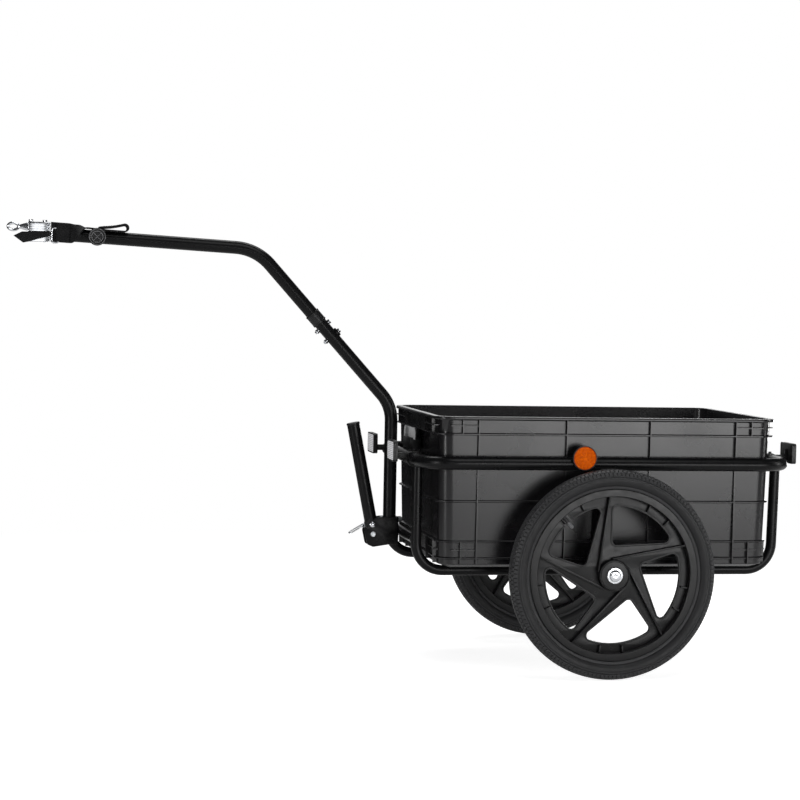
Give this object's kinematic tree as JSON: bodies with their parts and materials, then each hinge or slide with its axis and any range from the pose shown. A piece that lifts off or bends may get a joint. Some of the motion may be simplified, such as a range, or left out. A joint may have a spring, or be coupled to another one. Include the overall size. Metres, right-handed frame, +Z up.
{
  "type": "bicycle cargo trailer",
  "caption": "Two-wheeled bicycle cargo trailer: ribbed open box in a tube frame, moulded spoked wheels, arched drawbar with seat-post hitch, folding stand leg and reflectors.",
  "frame": {"origin": "on the ground under the middle of the whole length, in the trailer's middle plane; the wheel axle lies 358.8 mm behind it", "axes": "+X rearward with the hitch ahead at -X, +Y to the trailer's right, +Z up"},
  "size_m": [1.5406, 0.6256, 0.8486],
  "materials": {
    "frame_paint": "satin black powder coat",
    "chrome_steel": "bright plated",
    "zinc_steel": "zinc plated",
    "bearing_steel": "ground",
    "wheel_nylon": "moulded, satin",
    "tyre_rubber": "matt",
    "tube_rubber": "matt",
    "webbing": "woven",
    "clear_lens": "prismatic",
    "red_lens": "prismatic",
    "amber_lens": "prismatic",
    "box_plastic": "moulded, satin",
    "grey_plastic": "moulded",
    "black_plastic": "moulded, satin"
  },
  "bodies": {
    "frame": {"frame_ring": "frame_paint", "hoop_left": "frame_paint", "hoop_right": "frame_paint", "cross_tube_front": "frame_paint", "cross_tube_rear": "frame_paint", "axle_beam": "frame_paint", "axle_bracket_left": "frame_paint", "axle_bracket_right": "frame_paint", "spindle_left": "bearing_steel", "spindle_right": "bearing_steel", "axle_nut_left": "chrome_steel", "axle_nut_right": "chrome_steel", "box_stop": "grey_plastic", "drawbar_lower": "frame_paint", "drawbar_upper": "frame_paint", "joint_collar": "black_plastic", "joint_bolt_1": "chrome_steel", "joint_nut_1": "chrome_steel", "joint_bolt_2": "chrome_steel", "joint_nut_2": "chrome_steel", "stand_bracket": "frame_paint", "anchor_bolt": "zinc_steel", "anchor_nut": "zinc_steel", "pivot_rivet": "chrome_steel", "hitch_saddle": "chrome_steel", "hitch_keeper": "chrome_steel", "hitch_bolt_1": "chrome_steel", "hitch_nut_1": "chrome_steel", "hitch_bolt_2": "chrome_steel", "hitch_nut_2": "chrome_steel", "safety_strap": "webbing", "strap_buckle": "chrome_steel", "strap_tail": "webbing", "reflector_holder_front_left": "black_plastic", "reflector_lens_front_left": "clear_lens", "reflector_holder_front_right": "black_plastic", "reflector_lens_front_right": "clear_lens", "reflector_holder_rear_left": "black_plastic", "reflector_lens_rear_left": "red_lens", "reflector_holder_rear_right": "black_plastic", "reflector_lens_rear_right": "red_lens", "side_reflector_left": "amber_lens", "side_reflector_right": "amber_lens"},
    "wheel_left_body": {"wheel_left": "wheel_nylon", "tyre_left": "tyre_rubber", "inner_tube_left": "tube_rubber", "bearing_outer_left": "bearing_steel", "bearing_inner_left": "bearing_steel"},
    "wheel_right_body": {"wheel_right": "wheel_nylon", "tyre_right": "tyre_rubber", "inner_tube_right": "tube_rubber", "bearing_outer_right": "bearing_steel", "bearing_inner_right": "bearing_steel"},
    "stand": {"stand_leg": "frame_paint", "foot_cap": "black_plastic"},
    "stand_pin": {"pull_pin": "zinc_steel"},
    "stand_pin_loop": {"pull_loop": "zinc_steel"},
    "hitch_swivel": {"hitch_eye": "chrome_steel"},
    "knob": {"bar_knob": "black_plastic"},
    "box": {"box_tub": "box_plastic"}
  },
  "joints": [
    {"name": "wheel_left_spin", "type": "hinge", "parent": "frame", "child": "wheel_left_body", "pos_m": [0.35883, -0.289, 0.1995], "axis": [0, 1, 0], "continuous": true},
    {"name": "wheel_right_spin", "type": "hinge", "parent": "frame", "child": "wheel_right_body", "pos_m": [0.35883, 0.289, 0.1995], "axis": [0, 1, 0], "continuous": true},
    {"name": "stand_fold", "type": "hinge", "parent": "frame", "child": "stand", "pos_m": [-0.05367, 0, 0.266], "axis": [0, -1, 0], "range_deg": [0, 160]},
    {"name": "pin_pull", "type": "slide", "parent": "stand", "child": "stand_pin", "axis": [-0.9804, 0, -0.1968], "range_m": [0, 0.004], "stiffness_N_per_m": 400},
    {"name": "pin_loop_swing", "type": "hinge", "parent": "stand_pin", "child": "stand_pin_loop", "pos_m": [-0.06985, 0, 0.26275], "axis": [0, 1, 0], "range_deg": [0, 96]},
    {"name": "eye_swivel", "type": "hinge", "parent": "frame", "child": "hitch_swivel", "pos_m": [-0.72917, 0, 0.83505], "axis": [1, 0, 0], "range_deg": [-90, 90]},
    {"name": "knob_turn", "type": "hinge", "parent": "frame", "child": "knob", "pos_m": [-0.59917, -0.02, 0.8183], "axis": [0, 1, 0], "continuous": true},
    {"name": "box_lift", "type": "slide", "parent": "frame", "child": "box", "axis": [0, 0, 1], "range_m": [0, 0.25]}
  ],
  "couplings": [
    {"joint": "pin_loop_swing", "follows": "stand_fold", "ratio": 0.6}
  ]
}
